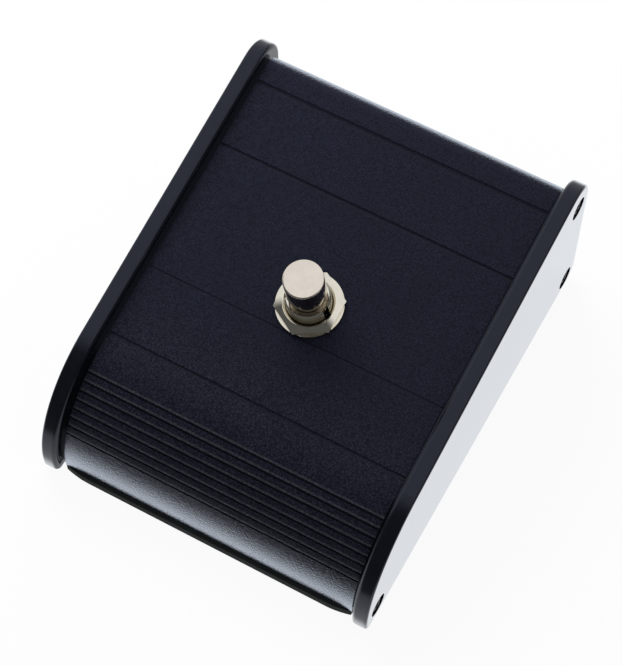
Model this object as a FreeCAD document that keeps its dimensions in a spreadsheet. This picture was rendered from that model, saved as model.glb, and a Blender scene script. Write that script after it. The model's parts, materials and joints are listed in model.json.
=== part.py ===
"""Foot pedal switch: wedge-shaped extruded housing, moulded side plates, M12 foot switch, 6.35 mm socket.

Origin at the middle of the footprint on the floor. +X right, +Y back, +Z up, millimetres.
The foot switch's own pieces are drawn about its axis, with height 0 on the top panel's outer face.
"""
import FreeCAD, Part
import math
import os
from types import SimpleNamespace

import Sketcher

Vector = FreeCAD.Vector
X_AXIS = Vector(1, 0, 0)
Z_AXIS = Vector(0, 0, 1)

# Driving dimensions: alias, value, meaning
SIZES = [
    ("housing_length", 85.0, "extrusion length between the side plates' bosses"),
    ("side_depth", 120.3, "side plate, front to back"),
    ("side_thickness", 4.5, "side plate wall"),
    ("side_boss", 1.0, "boss on the side plate that meets the extrusion's end"),
    ("boss_inset", 0.9, "boss outline inside the extrusion's outline"),
    ("side_floor_gap", 1.0, "side plate's lower edge above the floor"),
    ("rim_top", 3.55, "side plate above the top panel"),
    ("rim_front", 2.5, "side plate ahead of the extrusion's nose"),
    ("rim_back", 3.7, "side plate behind the extrusion's back wall"),
    ("side_nose_radius", 30.0, "front curve of the side plate"),
    ("side_back_radius", 9.0, "upper back corner of the side plate"),
    ("side_heel_radius", 4.5, "lower back corner of the side plate"),
    ("side_toe_radius", 2.0, "lower front corner of the side plate"),
    ("outer_edge_radius", 0.8, "rounding of the side plate's outer edge"),
    ("inner_edge_radius", 1.2, "rounding of the side plate's inner edge"),
    ("panel_slope", 10.0, "slope of the top panel, degrees"),
    ("panel_height", 37.88, "top panel above the floor at the switch"),
    ("switch_from_front", 58.13, "switch axis behind the side plate's front"),
    ("nose_radius", 28.5, "outer radius of the extrusion's nose"),
    ("back_corner_radius", 4.5, "outer radius of the extrusion's back corner"),
    ("wall", 2.0, "extrusion wall"),
    ("lip_reach", 7.6, "bottom lip, from the outer face inwards"),
    ("ledge_reach", 13.4, "ledge above the base plate, from the outer face inwards"),
    ("ledge_thickness", 1.8, "ledge that the base plate is screwed to"),
    ("back_lip", 2.0, "extrusion's back lip, below the upper screw channel's wall"),
    ("slot_lip", 1.0, "lips behind the back panel's tongues"),
    ("tongue_height", 1.4, "tongues along the back panel's top and bottom"),
    ("rail_height", 5.0, "rear rail"),
    ("rail_width", 5.05, "rear rail's block around the screw channel"),
    ("fence_height", 4.0, "fences in front of the back panel"),
    ("fence_thickness", 1.5, "fences in front of the back panel"),
    ("panel_fit", 0.05, "back panel to the fences, tongues to their lips"),
    ("panel_gap", 0.1, "back panel's steps to the edges of the lips"),
    ("channel_radius", 2.4, "wall of a screw channel"),
    ("mat_thickness", 3.0, "rubber mat"),
    ("mat_side_gap", 0.2, "mat and base plate short of the extrusion's ends"),
    ("mat_edge_radius", 0.4, "rounded lower edges of the mat"),
    ("mat_lead", 1.0, "mat ahead of the extrusion's lower front edge"),
    ("mat_corner", 7.0, "length of the curve at each front corner of the mat"),
    ("base_thickness", 1.5, "base plate"),
    ("base_gap", 0.2, "base plate to the lips"),
    ("wide_line", 1.5, "width of the broad line near the back"),
    ("middle_line", 1.1, "width of the two middle lines"),
    ("fine_line", 0.6, "width of the fine line"),
    ("line_depth", 0.2, "depth of the broad and middle lines"),
    ("fine_line_depth", 0.1, "depth of the fine line"),
    ("line_back", 48.88, "broad line, up the slope from the switch"),
    ("line_upper", 28.98, "second line, up the slope"),
    ("line_lower", 9.02, "fine line, down the slope"),
    ("line_front", 29.32, "fourth line, down the slope"),
    ("rib_start", 40.95, "first rib groove, along the surface down from the switch"),
    ("rib_pitch", 2.62, "rib grooves along the nose"),
    ("rib_count", 8, "rib grooves"),
    ("rib_groove", 0.5, "rib groove, across"),
    ("rib_depth", 0.35, "rib groove"),
    ("rib_lip", 0.15, "rounding of a rib groove's upper lip"),
    ("screw_head", 5.8, "pan head diameter"),
    ("screw_head_height", 1.9, "pan head height"),
    ("screw_thread", 2.9, "side and base screw thread diameter"),
    ("screw_length", 11.0, "side screw below its head"),
    ("screw_point", 0.6, "cone at the end of a screw"),
    ("screw_recess", 2.2, "counterbore depth in the side plate"),
    ("screw_recess_width", 6.6, "counterbore diameter"),
    ("screw_fit", 0.1, "screw thread to its hole, on the diameter"),
    ("recess_arm", 3.2, "cross recess, arm to arm"),
    ("recess_arm_width", 0.8, "cross recess, arm width"),
    ("recess_depth", 1.1, "cross recess depth"),
    ("channel_from_back", 2.45, "rear screw channels ahead of the extrusion's back face"),
    ("channel_top_drop", 5.8, "upper screw channel below the panel's outer face"),
    ("channel_rise", 2.5, "lower rear screw channel above the extrusion's lower face"),
    ("toe_channel_from_front", 3.65, "front screw channel behind the extrusion's nose"),
    ("toe_channel_rise", 3.2, "front screw channel above the extrusion's lower face"),
    ("base_screw_across", 58.0, "base screws, left to right"),
    ("base_screw_inset", 10.4, "base screws from the extrusion's outer faces"),
    ("base_screw_length", 5.0, "base screw with its head"),
    ("base_screw_head", 5.4, "countersunk head diameter"),
    ("bush_diameter", 12.0, "switch bush thread"),
    ("bush_rise", 6.9, "bush above the panel"),
    ("bush_thread_pitch", 1.0, "switch bush thread pitch"),
    ("bush_thread_depth", 0.3, "switch bush thread depth"),
    ("bush_edge", 0.5, "chamfer at the top of the bush's thread"),
    ("bush_mouth", 0.35, "chamfer at the mouth of the bush's bore"),
    ("bush_flange_width", 15.6, "flange under the jam nut"),
    ("bush_flange_height", 1.5, "flange under the jam nut"),
    ("bush_web", 1.2, "web at the bottom of the bush"),
    ("bush_hole_fit", 0.3, "panel hole over the bush, on the diameter"),
    ("keyway_width", 1.9, "slot down the bush"),
    ("keyway_depth", 0.7, "slot down the bush"),
    ("keyway_angle", -11.0, "slot direction from +X, degrees"),
    ("washer_width", 17.8, "plain washer"),
    ("washer_thickness", 1.0, "plain washer"),
    ("nut_flats", 16.2, "switch nuts across flats"),
    ("nut_height", 1.8, "upper nut"),
    ("nut_bore_chamfer", 0.7, "chamfer of the nut's thread"),
    ("nut_bevel", 1.2, "cone over the upper nut's top, inside its flats"),
    ("nut_corner_cut", 0.15, "cone that cuts the other corners of the nuts, inside their flats"),
    ("thread_fit", 0.1, "nuts and washers over the bush, on the diameter"),
    ("lock_washer_thickness", 0.6, "toothed washer"),
    ("lock_washer_teeth", 14, "toothed washer"),
    ("tooth_depth", 1.0, "notch between two teeth"),
    ("jam_nut_height", 2.5, "lower nut"),
    ("button_diameter", 10.5, "push button's cap"),
    ("button_rise", 19.2, "push button above the panel"),
    ("cap_height", 8.7, "push button's cap"),
    ("neck_diameter", 8.4, "push button's neck"),
    ("button_length", 17.2, "push button's cap and neck"),
    ("button_edge", 0.4, "rounding of the cap's edges"),
    ("button_fit", 0.16, "bush bore over the neck, on the diameter"),
    ("stem_diameter", 4.8, "push button stem"),
    ("stem_fit", 0.1, "web hole over the stem, on the diameter"),
    ("stroke", 3.5, "push button travel"),
    ("rest_gap", 0.05, "carrier under the web at rest, bridge over the contacts when pressed"),
    ("carrier_diameter", 8.4, "contact carrier"),
    ("carrier_length", 4.05, "contact carrier"),
    ("bridge_length", 13.0, "contact bridge"),
    ("bridge_width", 6.6, "contact bridge"),
    ("bridge_thickness", 0.6, "contact bridge"),
    ("rivet_width", 5.9, "peened end of the stem"),
    ("rivet_height", 0.6, "peened end of the stem"),
    ("spring_wire", 0.7, "return spring wire"),
    ("spring_width", 7.9, "return spring outside diameter"),
    ("spring_turns", 5, "return spring turns"),
    ("spring_gap", 0.05, "return spring to its two seats"),
    ("case_width", 17.0, "switch case along X"),
    ("case_depth", 15.0, "switch case across X"),
    ("case_height", 12.8, "switch case"),
    ("case_wall", 0.8, "switch case"),
    ("case_fit", 0.05, "switch base to the case walls"),
    ("tab_width", 4.0, "bent tab that holds the switch base"),
    ("tab_reach", 1.3, "bent tab that holds the switch base"),
    ("switch_base_thickness", 2.0, "phenolic base"),
    ("contact_spacing", 9.0, "fixed contacts, centre to centre"),
    ("contact_diameter", 3.2, "fixed contacts"),
    ("lug_width", 4.0, "solder lug"),
    ("lug_thickness", 0.8, "solder lug"),
    ("lug_length", 5.0, "solder lug below the base"),
    ("lug_hole", 1.5, "solder lug eye"),
    ("lug_fit", 0.05, "lug to its slot"),
    ("jack_height", 22.0, "socket axis above the floor"),
    ("jack_bore", 6.5, "socket sleeve bore"),
    ("jack_thread", 9.5, "socket sleeve thread"),
    ("jack_reach", 3.4, "socket sleeve behind the back wall"),
    ("jack_thread_pitch", 0.8, "socket sleeve thread pitch"),
    ("jack_thread_depth", 0.25, "socket sleeve thread depth"),
    ("jack_edge", 0.4, "chamfers at the socket's mouth and in its nut"),
    ("jack_flange_width", 14.0, "socket flange inside the wall"),
    ("jack_flange_height", 1.6, "socket flange inside the wall"),
    ("jack_spigot", 9.2, "socket spigot diameter"),
    ("jack_hole_fit", 0.3, "back wall hole over the sleeve, on the diameter"),
    ("jack_washer_width", 15.0, "socket washer"),
    ("jack_washer_thickness", 0.6, "socket washer"),
    ("jack_nut_flats", 12.7, "socket nut across flats"),
    ("jack_nut_height", 2.3, "socket nut"),
    ("frame_thickness", 1.0, "socket frame strip"),
    ("frame_width", 12.0, "socket frame strip"),
    ("frame_top", 7.0, "socket frame above the axis"),
    ("frame_drop", 8.6, "socket frame below the axis"),
    ("frame_leg", 22.0, "socket frame leg, from the back wall's inner face"),
    ("frame_tab", 6.0, "earth lug at the end of the leg"),
    ("frame_tab_width", 4.0, "earth lug at the end of the leg"),
    ("wafer_thickness", 0.8, "phenolic wafer"),
    ("wafer_width", 8.0, "phenolic wafer"),
    ("wafer_start", 8.0, "wafers from the back wall's inner face"),
    ("wafer_length", 10.0, "phenolic wafer"),
    ("leaf_thickness", 0.4, "tip spring"),
    ("leaf_width", 5.0, "tip spring"),
    ("leaf_start", 4.6, "tip spring's lug end from the back wall's inner face"),
    ("leaf_bend", 18.6, "tip spring's bend from the back wall's inner face"),
    ("leaf_peak", 22.3, "tip spring's contact from the back wall's inner face"),
    ("leaf_end", 24.6, "tip spring's free end from the back wall's inner face"),
    ("leaf_peak_drop", 2.6, "tip spring's contact below the axis"),
    ("leaf_end_drop", 4.0, "tip spring's free end below the axis"),
    ("rivet_shank", 2.0, "stack rivet"),
    ("rivet_head", 3.4, "stack rivet"),
    ("rivet_head_height", 0.6, "stack rivet"),
    ("rivet_spacing", 5.0, "stack rivets, centre to centre"),
    ("leaf_hole", 2.8, "hole in the leaf around a rivet"),
    ("rivet_fit", 0.1, "wafers and frame over a rivet, on the diameter"),
    ("lead_diameter", 1.2, "insulated leads"),
    ("lead_gap", 0.05, "lead's end to its lug"),
]

doc = FreeCAD.newDocument("foot_pedal_switch")
sheet = doc.addObject("Spreadsheet::Sheet", "dims")
for row, (alias, amount, meaning) in enumerate(SIZES, start=1):
    sheet.set("A%d" % row, meaning)
    sheet.set("B%d" % row, "%g" % amount)
    sheet.setAlias("B%d" % row, alias)
doc.recompute()
d = SimpleNamespace(**{alias: float(sheet.get(alias)) for alias, _, _ in SIZES})

# Places worked out from the driving dimensions
slope = math.radians(d.panel_slope)
side_front = -d.side_depth / 2
side_back = d.side_depth / 2
shell_front = side_front + d.rim_front
shell_back = side_back - d.rim_back
shell_floor = d.mat_thickness
ledge_floor = shell_floor + d.base_thickness
ledge_top = ledge_floor + d.ledge_thickness
switch_y = side_front + d.switch_from_front
back_inner = shell_back - d.wall
rail_top = shell_floor + d.rail_height
slot_back = shell_back - d.slot_lip
base_screw_front = shell_front + d.base_screw_inset
base_screw_back = shell_back - d.base_screw_inset

# Heights along the switch's axis, 0 on the panel's outer face
lock_washer_floor = -d.wall - d.lock_washer_thickness
jam_nut_floor = lock_washer_floor - d.jam_nut_height
case_top = jam_nut_floor - d.bush_flange_height
web_floor = case_top - d.case_wall
web_top = web_floor + d.bush_web
skirt_floor = d.button_rise - d.button_length
carrier_top = web_floor - d.rest_gap
carrier_floor = carrier_top - d.carrier_length
bridge_floor = carrier_floor - d.bridge_thickness
contact_top = bridge_floor - d.stroke - d.rest_gap
case_floor = case_top - d.case_height
base_top = case_floor + d.switch_base_thickness
lug_floor = case_floor - d.lug_length


def panel_z(y, offset=0.0):
    """Height of the top panel's plane at y, moved outwards by offset."""
    return d.panel_height + (y - switch_y) * math.tan(slope) + offset / math.cos(slope)


def tangent_centre(y, radius, offset=0.0):
    """Centre of a circle that touches the panel's plane, moved out by offset, from below."""
    return (y, panel_z(y, offset - radius))


def touch_point(centre, radius):
    """Where such a circle touches the sloping plane."""
    return (centre[0] - radius * math.sin(slope), centre[1] + radius * math.cos(slope))


nose_centre = tangent_centre(shell_front + d.nose_radius, d.nose_radius)
nose_start = (touch_point(nose_centre, d.nose_radius)[0] - switch_y) / math.cos(slope)
corner_centre = tangent_centre(shell_back - d.back_corner_radius, d.back_corner_radius)


def at_height(centre, radius, z):
    """Front point of a circle at height z."""
    return (centre[0] - math.sqrt(radius ** 2 - (z - centre[1]) ** 2), z)


def toe_corner(centre, radius, toe, floor):
    """Rounded corner from a circle's front to the level floor: its centre, and where it meets the circle."""
    middle = at_height(centre, radius - toe, floor + toe)
    reach = radius / (radius - toe)
    return middle, (centre[0] + (middle[0] - centre[0]) * reach, centre[1] + (middle[1] - centre[1]) * reach)


def shell_outline(inset, floor):
    """Extrusion's side outline, moved inwards by inset and cut off at floor."""
    nose = d.nose_radius - inset
    corner = d.back_corner_radius - inset
    start = at_height(nose_centre, nose, floor)
    return [start,
            touch_point(nose_centre, nose) + (nose_centre,),
            touch_point(corner_centre, corner),
            (shell_back - inset, corner_centre[1]) + (corner_centre,),
            (shell_back - inset, floor)]


def surface_point(distance):
    """Point on the extrusion's outer face, distance along the surface from the switch."""
    if distance >= nose_start:
        y = switch_y + distance * math.cos(slope)
        return (y, panel_z(y))
    angle = math.pi / 2 + slope + (nose_start - distance) / d.nose_radius
    return (nose_centre[0] + d.nose_radius * math.cos(angle),
            nose_centre[1] + d.nose_radius * math.sin(angle))


rear_channel_y = shell_back - d.channel_from_back
top_channel = (rear_channel_y, panel_z(rear_channel_y) - d.channel_top_drop)
rail_channel = (rear_channel_y, shell_floor + d.channel_rise)
toe_channel = (shell_front + d.toe_channel_from_front, shell_floor + d.toe_channel_rise)
channels = [top_channel, rail_channel, toe_channel]
lip_floor = top_channel[1] - d.channel_radius - d.back_lip


def new_body(name):
    body = doc.addObject("PartDesign::Body", name)
    body.Label = name
    return body


def on_switch_axis(body):
    """Stand a body on the switch's axis, square to the sloping panel."""
    body.Placement = FreeCAD.Placement(Vector(0, 1, 1), FreeCAD.Rotation(X_AXIS, 1))
    body.setExpression("Placement.Base.y", "dims.switch_from_front - dims.side_depth / 2")
    body.setExpression("Placement.Base.z", "dims.panel_height")
    body.setExpression("Placement.Rotation.Angle", "dims.panel_slope")
    return body


def on_jack_axis(body, turned):
    """Put a body at the socket's axis on the back wall's inner face, its own Z backwards if turned."""
    turn = FreeCAD.Rotation(X_AXIS, -90) if turned else FreeCAD.Rotation()
    body.Placement = FreeCAD.Placement(Vector(0, 1, 1), turn)
    body.setExpression("Placement.Base.y", "dims.side_depth / 2 - dims.rim_back - dims.wall")
    body.setExpression("Placement.Base.z", "dims.jack_height")
    return body


def add_sketch(body, role, offset=None):
    sketch = body.newObject("Sketcher::SketchObject", body.Name + "_sketch")
    plane = next(item for item in body.Origin.OriginFeatures if item.Role == role)
    sketch.AttachmentSupport = [(plane, "")]
    sketch.MapMode = "FlatFace"
    if offset is not None:
        sketch.AttachmentOffset = offset
    return sketch


def raised(height, angle=0.0):
    return FreeCAD.Placement(Vector(0, 0, height), FreeCAD.Rotation(Z_AXIS, angle))


def add_loop(sketch, path):
    """Closed outline. A corner (x, y) ends a line, and (x, y, centre) ends an arc about centre."""
    first = sketch.GeometryCount
    points = [Vector(corner[0], corner[1], 0) for corner in path]
    corners = list(zip(points, points[1:] + points[:1], path[1:] + path[:1]))
    for start, end, corner in corners:
        if len(corner) == 3:
            centre = Vector(corner[2][0], corner[2][1], 0)
            toward = (start - centre) + (end - centre)
            middle = centre + toward.normalize() * (start - centre).Length
            sketch.addGeometry(Part.Arc(start, middle, end))
        else:
            sketch.addGeometry(Part.LineSegment(start, end))
    return first


def add_circle(sketch, diameter, x=0.0, y=0.0):
    """Circle whose diameter is an expression on the sheet."""
    index = sketch.addGeometry(Part.Circle(Vector(x, y, 0), Z_AXIS, 1.0))
    constraint = sketch.addConstraint(Sketcher.Constraint("Diameter", index, 2.0))
    sketch.setExpression("Constraints[%d]" % constraint, diameter)
    if x == 0.0 and y == 0.0:
        sketch.addConstraint(Sketcher.Constraint("Coincident", index, 3, -1, 1))
    return index


def add_box(sketch, x_low, y_low, x_high, y_high):
    return add_loop(sketch, [(x_low, y_low), (x_high, y_low), (x_high, y_high), (x_low, y_high)])


def extrude(body, kind, sketch, length, side, reverse):
    feature = body.newObject("PartDesign::" + kind, body.Name + "_" + kind.lower())
    feature.Profile = sketch
    feature.SideType = side
    feature.Reversed = reverse
    feature.setExpression("Length", length)
    return feature


def pad(body, sketch, length, side="One side", reverse=False):
    return extrude(body, "Pad", sketch, length, side, reverse)


def pocket(body, sketch, length, side="One side", reverse=False):
    """Cut, and make sure that it removes material."""
    doc.recompute()
    before = body.Shape.Volume
    feature = extrude(body, "Pocket", sketch, length, side, reverse)
    doc.recompute()
    if body.Shape.Volume >= before - 1e-6:
        raise RuntimeError("%s cuts nothing" % feature.Name)
    return feature


def turned(body, outline, kind="Revolution"):
    """Revolve an outline of (radius, height) corners about the body's Z axis."""
    sketch = add_sketch(body, "XZ_Plane")
    add_loop(sketch, outline)
    feature = body.newObject("PartDesign::" + kind, body.Name + "_" + kind.lower())
    feature.Profile = sketch
    feature.ReferenceAxis = (sketch, ["V_Axis"])
    feature.Angle = 360
    return feature


def ring(body, bore, width, low, high):
    return turned(body, [(bore / 2, low), (width / 2, low), (width / 2, high), (bore / 2, high)])


def thread_outline(radius, depth, pitch, low, high):
    """Corners of a thread's side from low to high, as rings."""
    count = int((high - low) / pitch)
    corners = []
    for turn in range(count):
        foot = low + turn * pitch
        corners += [(radius, foot + 0.1 * pitch), (radius - depth, foot + 0.5 * pitch),
                    (radius, foot + 0.9 * pitch)]
    return corners


def housing():
    """Black aluminium extrusion: sloping top, nose, front lip and ledge, slotted back lip, screw channels."""
    body = new_body("housing")
    outer = add_sketch(body, "YZ_Plane")
    add_loop(outer, shell_outline(0.0, shell_floor))
    pad(body, outer, "dims.housing_length", "Symmetric")
    cavity = add_sketch(body, "YZ_Plane")
    beyond = shell_back + d.wall
    below = shell_floor - d.wall
    add_loop(cavity, shell_outline(d.wall, ledge_top)[:-1] + [
        (back_inner, lip_floor + d.tongue_height), (slot_back, lip_floor + d.tongue_height),
        (slot_back, lip_floor), (beyond, lip_floor), (beyond, below),
        (shell_front + d.ledge_reach, below), (shell_front + d.ledge_reach, ledge_top)])
    cut_through(body, cavity)
    rebate = add_sketch(body, "YZ_Plane")
    add_box(rebate, shell_front + d.lip_reach, below, shell_front + 2 * d.ledge_reach, ledge_floor)
    cut_through(body, rebate)
    bosses = add_sketch(body, "YZ_Plane")
    add_circle(bosses, "2 * dims.channel_radius", *top_channel)
    add_circle(bosses, "2 * dims.channel_radius", *toe_channel)
    pad(body, bosses, "dims.housing_length", "Symmetric")
    fence = add_sketch(body, "YZ_Plane")
    fence_back = back_inner - d.panel_fit
    add_box(fence, fence_back - d.fence_thickness, lip_floor - d.fence_height, fence_back, top_channel[1])
    pad(body, fence, "dims.housing_length", "Symmetric")
    bore_channels(body, [top_channel, toe_channel])
    lines = add_sketch(body, "YZ_Plane")
    add_groove(lines, d.line_back, d.wide_line, d.line_depth)
    add_groove(lines, d.line_upper, d.middle_line, d.line_depth)
    add_groove(lines, -d.line_lower, d.fine_line, d.fine_line_depth)
    add_groove(lines, -d.line_front, d.middle_line, d.line_depth)
    cut_through(body, lines)
    ribs = add_sketch(body, "YZ_Plane")
    for index in range(int(d.rib_count)):
        add_rib_groove(ribs, -d.rib_start - index * d.rib_pitch)
    cut_through(body, ribs)
    tilt = FreeCAD.Rotation(X_AXIS, d.panel_slope)
    switch_hole = add_sketch(body, "XY_Plane", FreeCAD.Placement(Vector(0, switch_y, d.panel_height), tilt))
    add_circle(switch_hole, "dims.bush_diameter + dims.bush_hole_fit")
    pocket(body, switch_hole, "4 * dims.wall", "Symmetric")
    tap_ledge(body, base_screw_front)
    return body


def rear_rail():
    """Black aluminium rail along the lower back edge: ledge, lip, screw channel and the panel's slot."""
    body = new_body("rear_rail")
    fence_back = back_inner - d.panel_fit
    block_front = shell_back - d.rail_width
    profile = add_sketch(body, "YZ_Plane")
    add_loop(profile, [
        (shell_back, shell_floor), (shell_back, rail_top + d.tongue_height),
        (slot_back, rail_top + d.tongue_height), (slot_back, rail_top), (fence_back, rail_top),
        (fence_back, rail_top + d.fence_height), (fence_back - d.fence_thickness, rail_top + d.fence_height),
        (fence_back - d.fence_thickness, rail_top), (block_front, rail_top), (block_front, ledge_top),
        (shell_back - d.ledge_reach, ledge_top), (shell_back - d.ledge_reach, ledge_floor),
        (shell_back - d.lip_reach, ledge_floor), (shell_back - d.lip_reach, shell_floor)])
    pad(body, profile, "dims.housing_length", "Symmetric")
    bore_channels(body, [rail_channel])
    tap_ledge(body, base_screw_back)
    return body


def back_panel():
    """Panel with a tongue in each slot and a hole for the socket."""
    body = new_body("back_panel")
    outline = add_sketch(body, "YZ_Plane")
    tongue_back = slot_back - d.panel_fit
    low_step = rail_top + d.tongue_height + d.panel_gap
    high_step = lip_floor - d.panel_gap
    add_loop(outline, [
        (back_inner, rail_top), (tongue_back, rail_top), (tongue_back, low_step), (shell_back, low_step),
        (shell_back, high_step), (tongue_back, high_step), (tongue_back, high_step + d.tongue_height),
        (back_inner, high_step + d.tongue_height)])
    pad(body, outline, "dims.housing_length", "Symmetric")
    jack_hole = add_sketch(body, "XZ_Plane", raised(-shell_back))
    add_circle(jack_hole, "dims.jack_thread + dims.jack_hole_fit", 0.0, d.jack_height)
    pocket(body, jack_hole, "4 * dims.wall", "Symmetric")
    return body


def cut_through(body, sketch):
    """Cut an outline right along an extrusion."""
    pocket(body, sketch, "dims.housing_length + 2 * dims.wall", "Symmetric")


def bore_channels(body, places):
    bores = add_sketch(body, "YZ_Plane")
    for y, z in places:
        add_circle(bores, "dims.screw_thread + dims.screw_fit", y, z)
    cut_through(body, bores)


def tap_ledge(body, y):
    """Two holes for the base screws in the ledge at y."""
    taps = add_sketch(body, "XY_Plane", raised(ledge_floor))
    for side in (-1, 1):
        add_circle(taps, "dims.screw_thread + dims.screw_fit", side * d.base_screw_across / 2, y)
    pocket(body, taps, "4 * dims.ledge_thickness", "Symmetric")


def outward_at(distance):
    """Direction away from the surface at this distance."""
    if distance >= nose_start:
        return Vector(-math.sin(slope), math.cos(slope), 0)
    y, z = surface_point(distance)
    return Vector(y - nose_centre[0], z - nose_centre[1], 0).normalize()


def add_groove(sketch, distance, width, depth):
    """Round-bottomed groove across the surface: a circle whose chord is the groove's width."""
    radius = ((width / 2) ** 2 + depth ** 2) / (2 * depth)
    centre = Vector(*surface_point(distance), 0) + outward_at(distance) * (radius - depth)
    sketch.addGeometry(Part.Circle(centre, Z_AXIS, radius))


def add_rib_groove(sketch, distance):
    """Square groove across the nose, its upper lip rounded."""
    foot = Vector(*surface_point(distance), 0)
    out = outward_at(distance)
    uphill = Vector(out.y, -out.x, 0)
    half = d.rib_groove / 2
    lip = d.rib_lip

    def corner(along, rise):
        point = foot + uphill * along + out * rise
        return (point.x, point.y)

    add_loop(sketch, [
        corner(half + lip, 0), corner(half, -lip) + (corner(half + lip, -lip),), corner(half, -d.rib_depth),
        corner(-half, -d.rib_depth), corner(-half, d.rib_depth), corner(half + lip, d.rib_depth)])


def side_plate(name, side):
    """Moulded end plate, side -1 left or +1 right: rounded rim, inner boss, three counterbores."""
    body = new_body(name)
    body.setExpression("Placement.Base.x", "%d * (dims.housing_length / 2 + dims.side_boss)" % side)
    nose = d.side_nose_radius
    nose_at = tangent_centre(side_front + nose, nose, d.rim_top)
    back = d.side_back_radius
    back_at = tangent_centre(side_back - back, back, d.rim_top)
    heel = d.side_heel_radius
    floor = d.side_floor_gap
    toe_at, toe_end = toe_corner(nose_at, nose, d.side_toe_radius, floor)
    outline = add_sketch(body, "YZ_Plane")
    add_loop(outline, [
        (toe_at[0], floor),
        toe_end + (toe_at,),
        touch_point(nose_at, nose) + (nose_at,),
        touch_point(back_at, back),
        (side_back, back_at[1], back_at),
        (side_back, floor + heel),
        (side_back - heel, floor, (side_back - heel, floor + heel))])
    plate = pad(body, outline, "dims.side_thickness", reverse=side < 0)
    doc.recompute()
    round_edges(body, plate, "X", side * d.side_thickness, "dims.outer_edge_radius")
    round_edges(body, body.Tip, "X", 0.0, "dims.inner_edge_radius")
    boss = add_sketch(body, "YZ_Plane")
    add_loop(boss, shell_outline(d.boss_inset, shell_floor + d.boss_inset))
    pad(body, boss, "dims.side_boss", reverse=side > 0)
    recesses = add_sketch(body, "YZ_Plane", raised(side * d.side_thickness))
    holes = add_sketch(body, "YZ_Plane")
    for y, z in channels:
        add_circle(recesses, "dims.screw_recess_width", y, z)
        add_circle(holes, "dims.screw_thread + 4 * dims.screw_fit", y, z)
    pocket(body, recesses, "dims.screw_recess", reverse=side < 0)
    pocket(body, holes, "4 * dims.side_thickness", "Symmetric")
    return body


def round_edges(body, base, axis, level, radius):
    """Round every edge that lies at this level of the X or Z axis."""
    names = []
    for index, edge in enumerate(base.Shape.Edges, start=1):
        ends = (getattr(edge.BoundBox, axis + "Min"), getattr(edge.BoundBox, axis + "Max"))
        if max(abs(end - level) for end in ends) < 1e-4:
            names.append("Edge%d" % index)
    fillet = body.newObject("PartDesign::Fillet", body.Name + "_fillet")
    fillet.Base = (base, names)
    fillet.setExpression("Radius", radius)
    doc.recompute()


def pan_screw(name):
    """Pan-head screw with a cross recess, head up, height 0 under the head."""
    body = new_body(name)
    head = d.screw_head / 2
    shank = d.screw_thread / 2
    turned(body, [(0, -d.screw_length), (shank - d.screw_point, -d.screw_length),
                  (shank, d.screw_point - d.screw_length), (shank, 0), (head, 0),
                  (head, 0.45 * d.screw_head_height), (0.6 * head, d.screw_head_height),
                  (0, d.screw_head_height)])
    cross_recess(body, d.screw_head_height)
    return body


def flat_screw(name):
    """Countersunk screw with a cross recess, height 0 on the flat of its head."""
    body = new_body(name)
    head = d.base_screw_head / 2
    shank = d.screw_thread / 2
    turned(body, [(0, -d.base_screw_length), (shank - d.screw_point, -d.base_screw_length),
                  (shank, d.screw_point - d.base_screw_length), (shank, shank - head), (head, 0), (0, 0)])
    cross_recess(body, 0.0)
    return body


def cross_recess(body, top):
    arm = d.recess_arm / 2
    half = d.recess_arm_width / 2
    cross = add_sketch(body, "XY_Plane", raised(top))
    add_loop(cross, [(half, arm), (-half, arm), (-half, half), (-arm, half), (-arm, -half), (-half, -half),
                     (-half, -arm), (half, -arm), (half, -half), (arm, -half), (arm, half), (half, half)])
    pocket(body, cross, "dims.recess_depth")


def screw_group(name, pattern, placements):
    """One node that holds several like screws."""
    links = []
    for index, placement in enumerate(placements, start=1):
        link = doc.addObject("App::Link", "%s_%d" % (name, index))
        link.LinkedObject = pattern
        link.Placement = placement
        links.append(link)
    group = doc.addObject("Part::Compound", name)
    group.Label = name
    group.Links = links
    return group


def side_screws(name, side, pattern):
    head_x = side * (d.housing_length / 2 + d.side_boss + d.side_thickness - d.screw_recess)
    turn = FreeCAD.Rotation(Z_AXIS, Vector(side, 0, 0))
    return screw_group(name, pattern, [FreeCAD.Placement(Vector(head_x, y, z), turn) for y, z in channels])


def base_screw_places():
    across = d.base_screw_across / 2
    return [(x, y) for x in (-across, across) for y in (base_screw_front, base_screw_back)]


def base_plate():
    """Plate between the extrusion's lips, screwed to the ledges."""
    body = new_body("base_plate")
    low = shell_front + d.lip_reach + d.base_gap
    high = shell_back - d.lip_reach - d.base_gap
    half = d.housing_length / 2 - d.mat_side_gap
    outline = add_sketch(body, "XY_Plane", raised(shell_floor))
    add_box(outline, -half, low, half, high)
    pad(body, outline, "dims.base_thickness")
    holes = add_sketch(body, "XY_Plane", raised(shell_floor))
    for x, y in base_screw_places():
        add_circle(holes, "dims.screw_thread + 2 * dims.screw_fit", x, y)
    pocket(body, holes, "4 * dims.base_thickness", "Symmetric")
    for x, y in base_screw_places():
        countersink(body, x, y)
    return body


def countersink(body, x, y):
    head = d.base_screw_head / 2 + d.screw_fit
    shank = d.screw_thread / 2
    sketch = add_sketch(body, "XZ_Plane", FreeCAD.Placement(Vector(x, 0, -y), FreeCAD.Rotation()))
    add_loop(sketch, [(0, shell_floor), (head, shell_floor), (shank, shell_floor + head - shank),
                      (0, shell_floor + head - shank)])
    feature = body.newObject("PartDesign::Groove", body.Name + "_groove")
    feature.Profile = sketch
    feature.ReferenceAxis = (sketch, ["V_Axis"])
    feature.Angle = 360


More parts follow.
